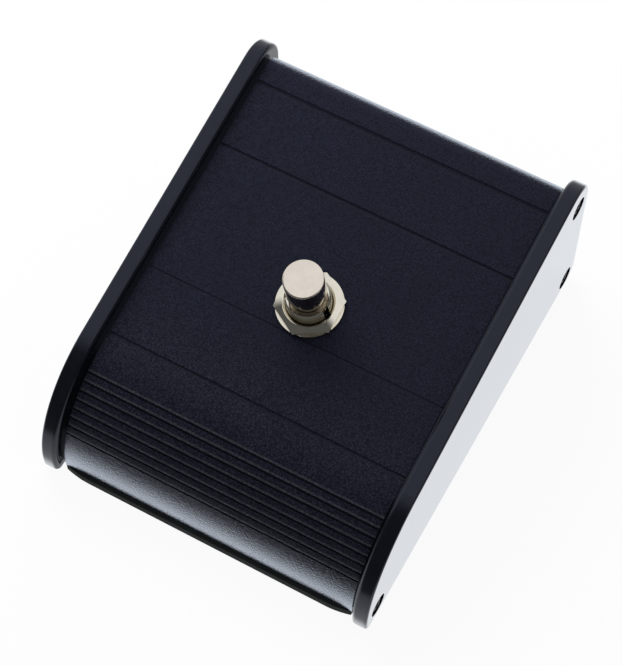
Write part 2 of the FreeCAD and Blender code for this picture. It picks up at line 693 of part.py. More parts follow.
def rubber_mat():
    """Mat under the extrusion and the base plate, a little ahead of the nose, its lower edges rounded."""
    body = new_body("rubber_mat")
    front = at_height(nose_centre, d.nose_radius, shell_floor)[0] - d.mat_lead
    curve = (d.mat_corner ** 2 + d.mat_lead ** 2) / (2 * d.mat_lead)
    half = d.housing_length / 2 - d.mat_side_gap
    straight = half - d.mat_corner
    outline = add_sketch(body, "XY_Plane")
    add_loop(outline, [(-half, shell_back), (-half, front + d.mat_lead),
                       (-straight, front, (-straight, front + curve)), (straight, front),
                       (half, front + d.mat_lead, (straight, front + curve)), (half, shell_back)])
    slab = pad(body, outline, "dims.mat_thickness")
    doc.recompute()
    round_edges(body, slab, "Z", 0.0, "dims.mat_edge_radius")
    return body


def switch_bush():
    """Threaded bush: bore for the button, web for the stem, flange and spigot on the case."""
    body = on_switch_axis(new_body("switch_bush"))
    bore = (d.neck_diameter + d.button_fit) / 2
    stem = (d.stem_diameter + d.stem_fit) / 2
    radius = d.bush_diameter / 2
    flange = d.bush_flange_width / 2
    spigot = radius - d.case_fit
    shoulder = d.bush_rise - d.bush_edge
    nut_top = d.washer_thickness + d.nut_height
    thread = thread_outline(radius, d.bush_thread_depth, d.bush_thread_pitch, jam_nut_floor, nut_top)
    turned(body, [(stem, web_floor), (spigot, web_floor), (spigot, case_top), (flange, case_top),
                  (flange, jam_nut_floor), (radius, jam_nut_floor)] + thread +
           [(radius, shoulder), (radius - d.bush_edge, d.bush_rise), (bore + d.bush_mouth, d.bush_rise),
            (bore, d.bush_rise - d.bush_mouth), (bore, web_top), (stem, web_top)])
    slot = add_sketch(body, "XY_Plane", raised(d.bush_rise, d.keyway_angle))
    half = d.keyway_width / 2
    add_box(slot, radius - d.keyway_depth, -half, radius + 1, half)
    pocket(body, slot, "dims.bush_rise + dims.wall + dims.lock_washer_thickness + dims.jam_nut_height")
    return body


def hex_nut(body, flats, height, low, bore, chamfer, bevel):
    """Nut with a 30 degree cone at both ends, the upper one bevel inside the flats, and a chamfered bore."""
    corner = flats / 2 / math.cos(math.pi / 6)
    outline = add_sketch(body, "XY_Plane", raised(low))
    angles = [math.radians(30 + 60 * step) for step in range(6)]
    add_loop(outline, [(corner * math.cos(angle), corner * math.sin(angle)) for angle in angles])
    pad(body, outline, height)
    doc.recompute()
    high = low + float(body.Tip.Length)
    reach = corner + 1
    hole = bore / 2
    start = flats / 2 - bevel
    turned(body, [(start, high), (reach, high), (reach, high - (reach - start) * math.tan(math.pi / 6))],
           "Groove")
    start = flats / 2 - d.nut_corner_cut
    turned(body, [(start, low), (reach, low + (reach - start) * math.tan(math.pi / 6)), (reach, low)],
           "Groove")
    turned(body, [(0, low - 1), (hole, low - 1), (hole, high - chamfer), (hole + chamfer, high),
                  (hole + chamfer, high + 1), (0, high + 1)], "Groove")
    return body


def switch_nut():
    body = on_switch_axis(new_body("switch_nut"))
    bore = d.bush_diameter + d.thread_fit
    return hex_nut(body, d.nut_flats, "dims.nut_height", d.washer_thickness, bore, d.nut_bore_chamfer,
                   d.nut_bevel)


def jam_nut():
    body = on_switch_axis(new_body("jam_nut"))
    bore = d.bush_diameter + d.thread_fit
    return hex_nut(body, d.nut_flats, "dims.jam_nut_height", jam_nut_floor, bore, d.nut_bore_chamfer,
                   d.nut_corner_cut)


def switch_washer():
    body = on_switch_axis(new_body("switch_washer"))
    ring(body, d.bush_diameter + d.thread_fit, d.washer_width, 0, d.washer_thickness)
    return body


def lock_washer():
    """Toothed washer under the panel."""
    body = on_switch_axis(new_body("lock_washer"))
    bore = d.bush_diameter + d.thread_fit
    ring(body, bore, d.washer_width, lock_washer_floor, -d.wall)
    notch = add_sketch(body, "XY_Plane", raised(lock_washer_floor))
    outer = d.washer_width / 2
    half = 0.25 * math.pi * d.washer_width / d.lock_washer_teeth
    add_box(notch, outer - d.tooth_depth, -half, outer + 1, half)
    cut = pocket(body, notch, "4 * dims.lock_washer_thickness", "Symmetric")
    pattern = body.newObject("PartDesign::PolarPattern", "lock_washer_pattern")
    pattern.Originals = [cut]
    pattern.Axis = (next(item for item in body.Origin.OriginFeatures if item.Role == "Z_Axis"), [""])
    pattern.Angle = 360
    pattern.setExpression("Occurrences", "dims.lock_washer_teeth")
    body.Tip = pattern
    return body


def push_button():
    """Round cap on a neck that slides in the bush, and a stem peened over under the contact bridge."""
    body = on_switch_axis(new_body("push_button"))
    radius = d.button_diameter / 2
    neck = d.neck_diameter / 2
    cap_floor = d.button_rise - d.cap_height
    stem = d.stem_diameter / 2
    rivet = d.rivet_width / 2
    edge = d.button_edge
    top = d.button_rise
    turned(body, [(0, bridge_floor - d.rivet_height), (rivet - d.rivet_height, bridge_floor - d.rivet_height),
                  (rivet, bridge_floor), (stem, bridge_floor), (stem, skirt_floor), (neck, skirt_floor),
                  (neck, cap_floor), (radius - edge, cap_floor),
                  (radius, cap_floor + edge, (radius - edge, cap_floor + edge)), (radius, top - edge),
                  (radius - edge, top, (radius - edge, top - edge)), (0, top)])
    return body


def contact_carrier():
    body = on_switch_axis(new_body("contact_carrier"))
    ring(body, d.stem_diameter + d.stem_fit, d.carrier_diameter, carrier_floor, carrier_top)
    return body


def contact_bridge():
    body = on_switch_axis(new_body("contact_bridge"))
    outline = add_sketch(body, "XY_Plane", raised(bridge_floor))
    half = d.bridge_length / 2
    width = d.bridge_width / 2
    add_box(outline, -half, -width, half, width)
    add_circle(outline, "dims.stem_diameter + dims.stem_fit")
    pad(body, outline, "dims.bridge_thickness")
    return body


def return_spring():
    """Coil spring between the web and the button's skirt."""
    body = on_switch_axis(new_body("return_spring"))
    wire = d.spring_wire / 2
    low = web_top + d.spring_gap + wire
    rise = skirt_floor - d.spring_gap - wire - low
    section = add_sketch(body, "XZ_Plane", FreeCAD.Placement(Vector(0, low, 0), FreeCAD.Rotation()))
    section.addGeometry(Part.Circle(Vector(d.spring_width / 2 - wire, 0, 0), Z_AXIS, wire))
    coil = body.newObject("PartDesign::AdditiveHelix", "return_spring_coil")
    coil.Profile = section
    coil.ReferenceAxis = (section, ["V_Axis"])
    coil.Mode = "height-turns-angle"
    coil.Height = rise
    coil.setExpression("Turns", "dims.spring_turns")
    coil.Angle = 0
    return body


def switch_case():
    """Pressed steel case, open below, with two tabs bent under the phenolic base."""
    body = on_switch_axis(new_body("switch_case"))
    half_x = d.case_width / 2
    half_y = d.case_depth / 2
    outline = add_sketch(body, "XY_Plane", raised(case_top))
    add_box(outline, -half_x, -half_y, half_x, half_y)
    pad(body, outline, "dims.case_height", reverse=True)
    inside = add_sketch(body, "XY_Plane", raised(case_floor))
    add_box(inside, d.case_wall - half_x, d.case_wall - half_y, half_x - d.case_wall, half_y - d.case_wall)
    pocket(body, inside, "dims.case_height - dims.case_wall", reverse=True)
    hole = add_sketch(body, "XY_Plane", raised(case_top))
    add_circle(hole, "dims.bush_diameter")
    pocket(body, hole, "4 * dims.case_wall", "Symmetric")
    tabs = add_sketch(body, "XY_Plane", raised(case_floor))
    tab = d.tab_width / 2
    add_box(tabs, -tab, half_y - d.tab_reach, tab, half_y)
    add_box(tabs, -tab, -half_y, tab, d.tab_reach - half_y)
    pad(body, tabs, "dims.case_wall", reverse=True)
    return body


def switch_base():
    """Phenolic base with a slot for each terminal."""
    body = on_switch_axis(new_body("switch_base"))
    half_x = d.case_width / 2 - d.case_wall - d.case_fit
    half_y = d.case_depth / 2 - d.case_wall - d.case_fit
    outline = add_sketch(body, "XY_Plane", raised(case_floor))
    add_box(outline, -half_x, -half_y, half_x, half_y)
    slot_x = d.lug_thickness / 2 + d.lug_fit
    slot_y = d.lug_width / 2 + d.lug_fit
    for middle in (-d.contact_spacing / 2, d.contact_spacing / 2):
        add_box(outline, middle - slot_x, -slot_y, middle + slot_x, slot_y)
    pad(body, outline, "dims.switch_base_thickness")
    return body


def terminal(name, side):
    """Fixed contact with its solder lug through the base."""
    body = on_switch_axis(new_body(name))
    middle = side * d.contact_spacing / 2
    stud = add_sketch(body, "XY_Plane", raised(contact_top))
    add_circle(stud, "dims.contact_diameter", middle, 0.0)
    stud_height = contact_top - base_top
    stud_pad = pad(body, stud, "dims.rest_gap", reverse=True)
    stud_pad.setExpression("Length", None)
    stud_pad.Length = stud_height
    strip = add_sketch(body, "XY_Plane", raised(base_top))
    half = d.lug_thickness / 2
    width = d.lug_width / 2
    add_box(strip, middle - half, -width, middle + half, width)
    pad(body, strip, "dims.switch_base_thickness + dims.lug_length", reverse=True)
    eye = add_sketch(body, "YZ_Plane", raised(middle))
    add_circle(eye, "dims.lug_hole", 0.0, lug_floor + d.lug_hole)
    pocket(body, eye, "4 * dims.lug_thickness", "Symmetric")
    return body


def jack_sleeve():
    """Threaded sleeve of the socket: its own Z points backwards, 0 on the back wall's inner face."""
    body = on_jack_axis(new_body("jack_sleeve"), True)
    bore = d.jack_bore / 2
    radius = d.jack_thread / 2
    flange = d.jack_flange_width / 2
    spigot = d.jack_spigot / 2
    mouth = d.wall + d.jack_reach
    tail = -d.jack_flange_height - d.frame_thickness
    shoulder = mouth - d.jack_edge
    thread = thread_outline(radius, d.jack_thread_depth, d.jack_thread_pitch, 0.0, shoulder)
    turned(body, [(bore, tail), (spigot, tail), (spigot, -d.jack_flange_height),
                  (flange, -d.jack_flange_height), (flange, 0), (radius, 0)] + thread +
           [(radius, shoulder), (radius - d.jack_edge, mouth), (bore + d.jack_edge, mouth), (bore, shoulder)])
    return body


def jack_washer():
    body = on_jack_axis(new_body("jack_washer"), True)
    ring(body, d.jack_thread + d.thread_fit, d.jack_washer_width, d.wall, d.wall + d.jack_washer_thickness)
    return body


def jack_nut():
    body = on_jack_axis(new_body("jack_nut"), True)
    low = d.wall + d.jack_washer_thickness
    bore = d.jack_thread + d.thread_fit
    return hex_nut(body, d.jack_nut_flats, "dims.jack_nut_height", low, bore, d.jack_edge, d.nut_corner_cut)


def stack_holes(body, diameter):
    """Holes for the two rivets of the contact stack."""
    sketch = add_sketch(body, "XY_Plane")
    for y in rivet_places():
        add_circle(sketch, diameter, 0.0, y)
    pocket(body, sketch, "4 * dims.frame_drop", "Symmetric")


def rivet_places():
    middle = -d.wafer_start - d.wafer_length / 2
    return (middle - d.rivet_spacing / 2, middle + d.rivet_spacing / 2)


def jack_frame():
    """Bent strip that carries the contact stack and ends in the earth lug."""
    body = on_jack_axis(new_body("jack_frame"), False)
    plate = -d.jack_flange_height
    deck = d.frame_thickness - d.frame_drop
    end = -d.frame_leg - d.frame_tab
    profile = add_sketch(body, "YZ_Plane")
    add_loop(profile, [(plate, d.frame_top), (plate - d.frame_thickness, d.frame_top),
                       (plate - d.frame_thickness, deck), (end, deck), (end, -d.frame_drop),
                       (plate, -d.frame_drop)])
    pad(body, profile, "dims.frame_width", "Symmetric")
    spigot_hole = add_sketch(body, "XZ_Plane")
    add_circle(spigot_hole, "dims.jack_spigot + 2 * dims.case_fit")
    pocket(body, spigot_hole, "4 * dims.jack_flange_height", "Symmetric")
    waist = add_sketch(body, "XY_Plane")
    edge = d.frame_width / 2 + 1
    half = d.frame_tab_width / 2
    add_box(waist, half, end - 1, edge, -d.frame_leg)
    add_box(waist, -edge, end - 1, -half, -d.frame_leg)
    pocket(body, waist, "4 * dims.frame_drop", "Symmetric")
    stack_holes(body, "dims.rivet_shank + dims.rivet_fit")
    return body


def jack_insulators():
    """Two phenolic wafers, one under and one over the tip spring."""
    body = on_jack_axis(new_body("jack_insulators"), False)
    body.AllowCompound = True
    deck = d.frame_thickness - d.frame_drop
    upper = deck + d.wafer_thickness + d.leaf_thickness
    end = -d.wafer_start - d.wafer_length
    profile = add_sketch(body, "YZ_Plane")
    add_box(profile, end, deck, -d.wafer_start, deck + d.wafer_thickness)
    add_box(profile, end, upper, -d.wafer_start, upper + d.wafer_thickness)
    pad(body, profile, "dims.wafer_width", "Symmetric")
    stack_holes(body, "dims.rivet_shank + dims.rivet_fit")
    return body


def tip_spring():
    """Leaf between the wafers, bent up to the plug's tip."""
    body = on_jack_axis(new_body("tip_spring"), False)
    low = d.frame_thickness - d.frame_drop + d.wafer_thickness
    thick = d.leaf_thickness
    profile = add_sketch(body, "YZ_Plane")
    add_loop(profile, [(-d.leaf_start, low), (-d.leaf_start, low + thick), (-d.leaf_bend, low + thick),
                       (-d.leaf_peak, -d.leaf_peak_drop), (-d.leaf_end, -d.leaf_end_drop),
                       (-d.leaf_end, -d.leaf_end_drop - thick),
                       (-d.leaf_peak, -d.leaf_peak_drop - 1.5 * thick), (-d.leaf_bend - 0.5 * thick, low)])
    pad(body, profile, "dims.leaf_width", "Symmetric")
    stack_holes(body, "dims.leaf_hole")
    return body


def stack_rivet(name):
    """Rivet through frame, wafers and leaf, height 0 on the frame's lower face."""
    body = new_body(name)
    shank = d.rivet_shank / 2
    head = d.rivet_head / 2
    grip = d.frame_thickness + 2 * d.wafer_thickness + d.leaf_thickness
    tall = d.rivet_head_height
    turned(body, [(0, -tall), (0.7 * head, -tall), (head, 0), (shank, 0), (shank, grip), (head, grip),
                  (0.7 * head, grip + tall), (0, grip + tall)])
    return body


def jack_rivets(pattern):
    low = d.jack_height - d.frame_drop
    return screw_group("jack_rivets", pattern,
                       [FreeCAD.Placement(Vector(0, back_inner + y, low), FreeCAD.Rotation())
                        for y in rivet_places()])


def lead(name, route):
    """Insulated lead: straight runs joined by tangent arcs, as large as the runs allow."""
    edges = []
    start = route[0]
    for before, corner, after in zip(route, route[1:], route[2:]):
        towards = (before - corner).normalize()
        onwards = (after - corner).normalize()
        turn = math.pi - towards.getAngle(onwards)
        tangent = 0.45 * min((before - corner).Length, (after - corner).Length)
        radius = tangent / math.tan(turn / 2)
        arc_start = corner + towards * tangent
        arc_end = corner + onwards * tangent
        bisector = (towards + onwards).normalize()
        middle = corner + bisector * (radius / math.cos(turn / 2) - radius)
        edges.append(Part.LineSegment(start, arc_start).toShape())
        edges.append(Part.Arc(arc_start, middle, arc_end).toShape())
        start = arc_end
        print("%s bend radius %.1f mm" % (name, radius))
    edges.append(Part.LineSegment(start, route[-1]).toShape())
    path = Part.Wire(edges)
    section = Part.Wire([Part.Circle(route[0], route[1] - route[0], d.lead_diameter / 2).toShape()])
    tube = path.makePipeShell([section], True, True)
    expected = math.pi * (d.lead_diameter / 2) ** 2 * path.Length
    if abs(tube.Volume - expected) > 0.01 * expected:
        raise RuntimeError("%s has the wrong volume" % name)
    feature = doc.addObject("Part::Feature", name)
    feature.Label = name
    feature.Shape = tube
    return feature


def switch_point(x, across, height):
    """Point given about the switch's axis, in the part's frame."""
    return Vector(x, switch_y + across * math.cos(slope) - height * math.sin(slope),
                  d.panel_height + across * math.sin(slope) + height * math.cos(slope))


def signal_lead():
    """From the live terminal round the socket to the tip spring's lug end."""
    lug = switch_point(-d.contact_spacing / 2, d.lug_width / 2 + d.lead_gap, lug_floor + d.lug_hole)
    leaf_z = d.jack_height - d.frame_drop + d.frame_thickness + d.wafer_thickness + d.leaf_thickness / 2
    leaf_y = back_inner - (d.leaf_start + d.wafer_start) / 2
    clear_x = -d.frame_width / 2 - 4 * d.lead_diameter
    return lead("signal_wire", [
        lug, lug + Vector(0, 9 * math.cos(slope), 9 * math.sin(slope)),
        Vector(clear_x, leaf_y - 21, leaf_z + 1.2), Vector(clear_x - 1, leaf_y - 10, leaf_z + 0.4),
        Vector(clear_x + 0.5, leaf_y - 1.6, leaf_z),
        Vector(-d.leaf_width / 2 - 3 * d.lead_gap, leaf_y, leaf_z)])


def ground_lead():
    """From the common terminal to the earth lug of the socket's frame."""
    lug = switch_point(d.contact_spacing / 2, d.lug_width / 2 + d.lead_gap, lug_floor + d.lug_hole)
    tab = Vector(0, back_inner - d.frame_leg - d.frame_tab - d.lead_gap,
                 d.jack_height - d.frame_drop + d.frame_thickness / 2)
    return lead("ground_wire", [
        lug, lug + Vector(-0.3, 6 * math.cos(slope), 6 * math.sin(slope)), tab + Vector(0, -7, 0.4), tab])


screw_pattern = pan_screw("side_screw_pattern")
base_screw_pattern = flat_screw("base_screw_pattern")
rivet_pattern = stack_rivet("rivet_pattern")
upside_down = FreeCAD.Rotation(X_AXIS, 180)

nodes = [
    housing(),
    rear_rail(),
    back_panel(),
    side_plate("left_side_plate", -1),
    side_plate("right_side_plate", 1),
    side_screws("left_side_screws", -1, screw_pattern),
    side_screws("right_side_screws", 1, screw_pattern),
    base_plate(),
    screw_group("base_screws", base_screw_pattern,
                [FreeCAD.Placement(Vector(x, y, shell_floor), upside_down) for x, y in base_screw_places()]),
    rubber_mat(),
    switch_bush(),
    switch_nut(),
    switch_washer(),
    lock_washer(),
    jam_nut(),
    push_button(),
    contact_carrier(),
    contact_bridge(),
    return_spring(),
    switch_case(),
    switch_base(),
    terminal("live_terminal", -1),
    terminal("common_terminal", 1),
    jack_sleeve(),
    jack_washer(),
    jack_nut(),
    jack_frame(),
    jack_insulators(),
    tip_spring(),
    jack_rivets(rivet_pattern),
    signal_lead(),
    ground_lead(),
]
doc.recompute()

for item in doc.Objects:
    if "Invalid" in item.State or "Error" in item.State:
        raise RuntimeError("%s failed: %s" % (item.Name, item.State))
for node in nodes:
    if node.Shape.isNull() or not node.Shape.isValid():
        raise RuntimeError("%s has no valid shape" % node.Label)

os.makedirs("parts", exist_ok=True)
for node in nodes:
    node.Shape.exportStep("parts/%s.step" % node.Label)
    print("%-18s %d solid(s) %9.2f mm3" % (node.Label, len(node.Shape.Solids), node.Shape.Volume))
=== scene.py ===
"""Finishes, small pieces and a studio stage for the foot pedal switch, around its fixed frame."""

import json
import math

import bmesh
import bpy
from mathutils import Matrix, Vector


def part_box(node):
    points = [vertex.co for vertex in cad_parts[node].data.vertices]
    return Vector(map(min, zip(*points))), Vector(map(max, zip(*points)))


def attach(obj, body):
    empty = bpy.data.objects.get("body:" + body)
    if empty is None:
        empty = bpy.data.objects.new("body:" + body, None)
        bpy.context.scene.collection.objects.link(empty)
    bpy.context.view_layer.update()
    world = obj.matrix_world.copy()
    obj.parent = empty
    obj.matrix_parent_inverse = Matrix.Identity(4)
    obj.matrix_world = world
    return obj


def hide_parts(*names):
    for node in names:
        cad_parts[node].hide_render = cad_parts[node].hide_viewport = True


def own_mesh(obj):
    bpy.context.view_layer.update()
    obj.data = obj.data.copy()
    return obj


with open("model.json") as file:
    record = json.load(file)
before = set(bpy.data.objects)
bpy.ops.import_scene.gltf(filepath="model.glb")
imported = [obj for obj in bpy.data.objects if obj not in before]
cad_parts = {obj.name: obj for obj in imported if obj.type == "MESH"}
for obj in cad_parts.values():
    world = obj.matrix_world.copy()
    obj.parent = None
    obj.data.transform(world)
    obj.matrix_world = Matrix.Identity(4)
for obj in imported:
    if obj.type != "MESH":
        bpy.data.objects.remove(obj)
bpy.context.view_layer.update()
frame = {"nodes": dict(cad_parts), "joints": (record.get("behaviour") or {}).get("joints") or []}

bl_info = {
    "name": "Foot pedal switch",
    "version": (1, 0, 0),
    "blender": (4, 5, 0),
    "location": "3D View > Sidebar > Pedal",
    "description": "Finishes and stage for a foot pedal with a push-button switch and a plug socket",
    "category": "Object",
}

MM = 0.001
NODES = frame["nodes"]


def press_axis():
    """Direction in which the button rises, from the joint of the frame."""
    return Vector(frame["joints"][0]["axis"]).normalized()


def switch_foot():
    """Point on the switch's axis at the top panel, from the washer's lowest and highest corners."""
    low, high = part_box("switch_washer")
    return (low + high) / 2 - press_axis() * WASHER_THICKNESS / 2


WASHER_THICKNESS = 1.0 * MM
SLOPE = math.asin(-press_axis().y)
SWITCH = switch_foot()
NOSE_RADIUS = 28.5 * MM
NOSE_AXIS = Vector((0, -29.15, 4.16)) * MM
PANEL_FRONT = (NOSE_AXIS - SWITCH).dot(Vector((0, math.cos(SLOPE), math.sin(SLOPE))))
PANEL_BACK = 53.0 * MM
FIRST_RIB = 40.95 * MM
RIB_PITCH = 2.62 * MM
RIB_COUNT = 8


class PedalFinishSettings(bpy.types.PropertyGroup):
    """Colours and gloss of the parts that the photograph shows"""

    coat_colour: bpy.props.FloatVectorProperty(
        name="Coat colour", description="Powder coat of the extruded shell",
        subtype="COLOR", size=3, min=0, max=1, default=(0.0090, 0.0102, 0.0200))
    coat_roughness: bpy.props.FloatProperty(
        name="Coat roughness", description="Gloss of the powder coat", subtype="FACTOR",
        min=0, max=1, default=0.42)
    coat_sheen: bpy.props.FloatProperty(
        name="Coat sheen", description="How much the powder coat mirrors at a grazing angle",
        subtype="FACTOR", min=0, max=1, default=0.6)
    grain_size: bpy.props.FloatProperty(
        name="Grain size", description="Width of one pimple of the powder coat",
        subtype="DISTANCE", unit="LENGTH", min=0.0001, max=0.005, default=0.0004)
    plate_colour: bpy.props.FloatVectorProperty(
        name="Side plate colour", description="Moulded side plates",
        subtype="COLOR", size=3, min=0, max=1, default=(0.004, 0.0045, 0.007))
    plate_roughness: bpy.props.FloatProperty(
        name="Side plate roughness", description="Gloss of the side plates",
        subtype="FACTOR", min=0, max=1, default=0.14)
    nickel_colour: bpy.props.FloatVectorProperty(
        name="Nickel colour", description="Plating of the button, bush, nuts and washers",
        subtype="COLOR", size=3, min=0, max=1, default=(0.76, 0.70, 0.63))
    mat_colour: bpy.props.FloatVectorProperty(
        name="Mat colour", description="Rubber under the pedal",
        subtype="COLOR", size=3, min=0, max=1, default=(0.010, 0.0135, 0.0135))


class PedalStageSettings(bpy.types.PropertyGroup):
    """Camera, lamp, floor and studio"""

    azimuth: bpy.props.FloatProperty(
        name="Azimuth", description="Camera's turn about the pedal, from straight in front",
        subtype="ANGLE", default=math.radians(29.44))
    elevation: bpy.props.FloatProperty(
        name="Elevation", description="Camera's height as an angle",
        subtype="ANGLE", default=math.radians(62.13))
    roll: bpy.props.FloatProperty(
        name="Roll", description="Camera's turn about its own view",
        subtype="ANGLE", default=math.radians(-0.65))
    distance: bpy.props.FloatProperty(
        name="Distance", description="Camera to the point it looks at", unit="LENGTH", default=0.5746)
    lens: bpy.props.FloatProperty(
        name="Lens", description="Focal length in millimetres", min=10, default=119.24)
    aim: bpy.props.FloatVectorProperty(
        name="Aim", description="Point that the camera looks at", subtype="TRANSLATION", size=3,
        default=(-0.00033, -0.00111, 0.0211))
    key_power: bpy.props.FloatProperty(
        name="Key power", description="Soft box over the pedal, in watts", min=0, default=2.6)
    room_light: bpy.props.FloatProperty(
        name="Room light", description="Light from all round", min=0, default=0.5)
    ceiling_light: bpy.props.FloatProperty(
        name="Ceiling light", description="Bright side of the studio as gloss mirrors it",
        min=0, max=1, default=0.95)
    wall_light: bpy.props.FloatProperty(
        name="Wall light", description="Dark side of the studio, behind the camera, as gloss mirrors it",
        min=0, max=1, default=0.1)
    floor_colour: bpy.props.FloatVectorProperty(
        name="Floor colour", description="Pale floor", subtype="COLOR", size=3, min=0, max=1,
        default=(0.9, 0.9, 0.9))


class Value:
    """A socket of a node tree that takes part in arithmetic: each operator adds a Math node."""

    def __init__(self, tree, socket):
        self.tree = tree
        self.socket = socket

    def math(self, operation, *others):
        """A Math node of this value and the others."""
        node = self.tree.nodes.new("ShaderNodeMath")
        node.operation = operation
        for index, item in enumerate((self,) + others):
            if isinstance(item, Value):
                self.tree.links.new(item.socket, node.inputs[index])
            else:
                node.inputs[index].default_value = item
        return Value(self.tree, node.outputs[0])

    def __add__(self, other):
        return self.math("ADD", other)

    __radd__ = __add__

    def __sub__(self, other):
        return self.math("SUBTRACT", other)

    def __rsub__(self, other):
        return self.math("MULTIPLY", -1.0).math("ADD", other)

    def __mul__(self, other):
        return self.math("MULTIPLY", other)

    __rmul__ = __mul__

    def __pow__(self, other):
        return self.math("POWER", other)

    def other(self, name):
        """Another output of the same node."""
        return Value(self.tree, self.socket.node.outputs[name])

    def smooth(self, low, high):
        """0 below low, 1 above high, and a soft step between them."""
        node = self.tree.nodes.new("ShaderNodeMapRange")
        node.interpolation_type = "SMOOTHSTEP"
        self.tree.links.new(self.socket, node.inputs["Value"])
        node.inputs["From Min"].default_value = low
        node.inputs["From Max"].default_value = high
        return Value(self.tree, node.outputs["Result"])


class Tree:
    """Adds nodes to a node tree and links them."""

    def __init__(self, tree):
        self.tree = tree
        tree.nodes.clear()

    def add(self, kind, settings=None, inputs=None, output=0):
        """A node of this kind, its settings first and then its sockets, as the value of one output."""
        node = self.tree.nodes.new(kind)
        for name, setting in (settings or {}).items():
            setattr(node, name, setting)
        for name, item in (inputs or {}).items():
            if isinstance(item, Value):
                self.tree.links.new(item.socket, node.inputs[name])
            else:
                node.inputs[name].default_value = item
        return Value(self.tree, node.outputs[output]) if node.outputs else node

    def blend(self, amount, first, second):
        """Colour between two colours."""
        return self.add("ShaderNodeMix", {"data_type": "RGBA"}, {0: amount, 6: first, 7: second}, 2)

    def place(self, origin=(0, 0, 0), turn=(0, 0, 0)):
        """Object coordinates about an origin, turned with a sloping piece."""
        coordinates = self.add("ShaderNodeTexCoord", output="Object")
        return self.add("ShaderNodeMapping", {"vector_type": "TEXTURE"},
                        {"Vector": coordinates, "Location": origin, "Rotation": turn})

    def noise(self, place, size, detail=2.0, stretch=None):
        """Soft noise whose features are about this wide, in metres."""
        if stretch is not None:
            place = self.add("ShaderNodeMapping", {"vector_type": "POINT"},
                             {"Vector": place, "Scale": stretch})
        return self.add("ShaderNodeTexNoise", None,
                        {"Vector": place, "Scale": 1.0 / size, "Detail": detail, "Roughness": 0.55})

    def bump(self, height, depth, strength=1.0):
        """Normal from a height of 0 to 1 that stands for this depth, in metres."""
        return self.add("ShaderNodeBump", None, {"Height": height, "Distance": depth, "Strength": strength})


class Finish(Tree):
    """A material with one main shader."""

    def __init__(self, name, **shader):
        self.material = bpy.data.materials.new(name)
        self.material.use_nodes = True
        super().__init__(self.material.node_tree)
        self.shader = self.add("ShaderNodeBsdfPrincipled", None,
                               {socket_name(key): item for key, item in shader.items()})
        self.output = self.add("ShaderNodeOutputMaterial", None, {"Surface": self.shader})

    def feed(self, **sockets):
        """Link or set sockets of the shader."""
        node = self.shader.socket.node
        for key, item in sockets.items():
            name = socket_name(key)
            if isinstance(item, Value):
                self.tree.links.new(item.socket, node.inputs[name])
            else:
                node.inputs[name].default_value = item
        return self

    def cover(self, skin, amount):
        """Lay a second shader over the main one."""
        both = self.add("ShaderNodeMixShader", None, {0: amount, 1: self.shader, 2: skin})
        self.tree.links.new(both.socket, self.output.inputs["Surface"])
        return self


def socket_name(key):
    """A shader socket's label from a keyword, such as Base Color from base_color."""
    return key.replace("_", " ").title().replace("Ior", "IOR")


def rgba(colour, gain=1.0):
    """Opaque colour, lightened or darkened by a gain."""
    return tuple(min(1.0, part * gain) for part in colour) + (1.0,)


def band(value, low, high, soft):
    """1 between low and high, 0 outside, with soft edges."""
    return value.smooth(low - soft, low + soft) * (1 - value.smooth(high - soft, high + soft))


class Profile:
    """Masks for the lines and ribs that the extrusion carries, each 1 inside and 0 elsewhere."""

    def __init__(self, finish):
        seam = 0.05 * MM
        deep = -0.6 * MM
        panel = finish.add("ShaderNodeSeparateXYZ", None,
                           {"Vector": finish.place(tuple(SWITCH), (SLOPE, 0, 0))}, "Z")
        along = panel.other("Y")
        nose = finish.add("ShaderNodeSeparateXYZ", None, {"Vector": finish.place(tuple(NOSE_AXIS))}, "Z")
        radius = (nose ** 2 + nose.other("Y") ** 2) ** 0.5
        on_nose = 1 - along.smooth(PANEL_FRONT - seam, PANEL_FRONT + seam)
        turn = nose.math("ARCTAN2", nose.other("Y")) - (math.pi / 2 + SLOPE)
        arc = turn * NOSE_RADIUS - PANEL_FRONT
        last_rib = FIRST_RIB + (RIB_COUNT - 0.9) * RIB_PITCH
        ribbed = band(arc, FIRST_RIB - 1.2 * MM, last_rib, 0.1 * MM) * on_nose
        uphill = (FIRST_RIB - arc).math("WRAP", RIB_PITCH, 0.0)
        self.lines = (band(panel, deep, -0.012 * MM, 0.006 * MM)
                      * band(along, PANEL_FRONT, PANEL_BACK, seam))
        self.grooves = band(radius, NOSE_RADIUS + deep, NOSE_RADIUS - 0.12 * MM, 0.03 * MM) * on_nose
        # Band just uphill of each rib groove, where a highlight is painted.
        self.rib_highlights = band(uphill, 0.32 * MM, 0.9 * MM, 0.12 * MM) * ribbed
        # Left side of the shell, where grazing light is painted into the coat.
        self.left = 1 - nose.other("X").smooth(-40 * MM, 15 * MM)
        self.front = 1 - along.smooth(-32 * MM, -8 * MM)


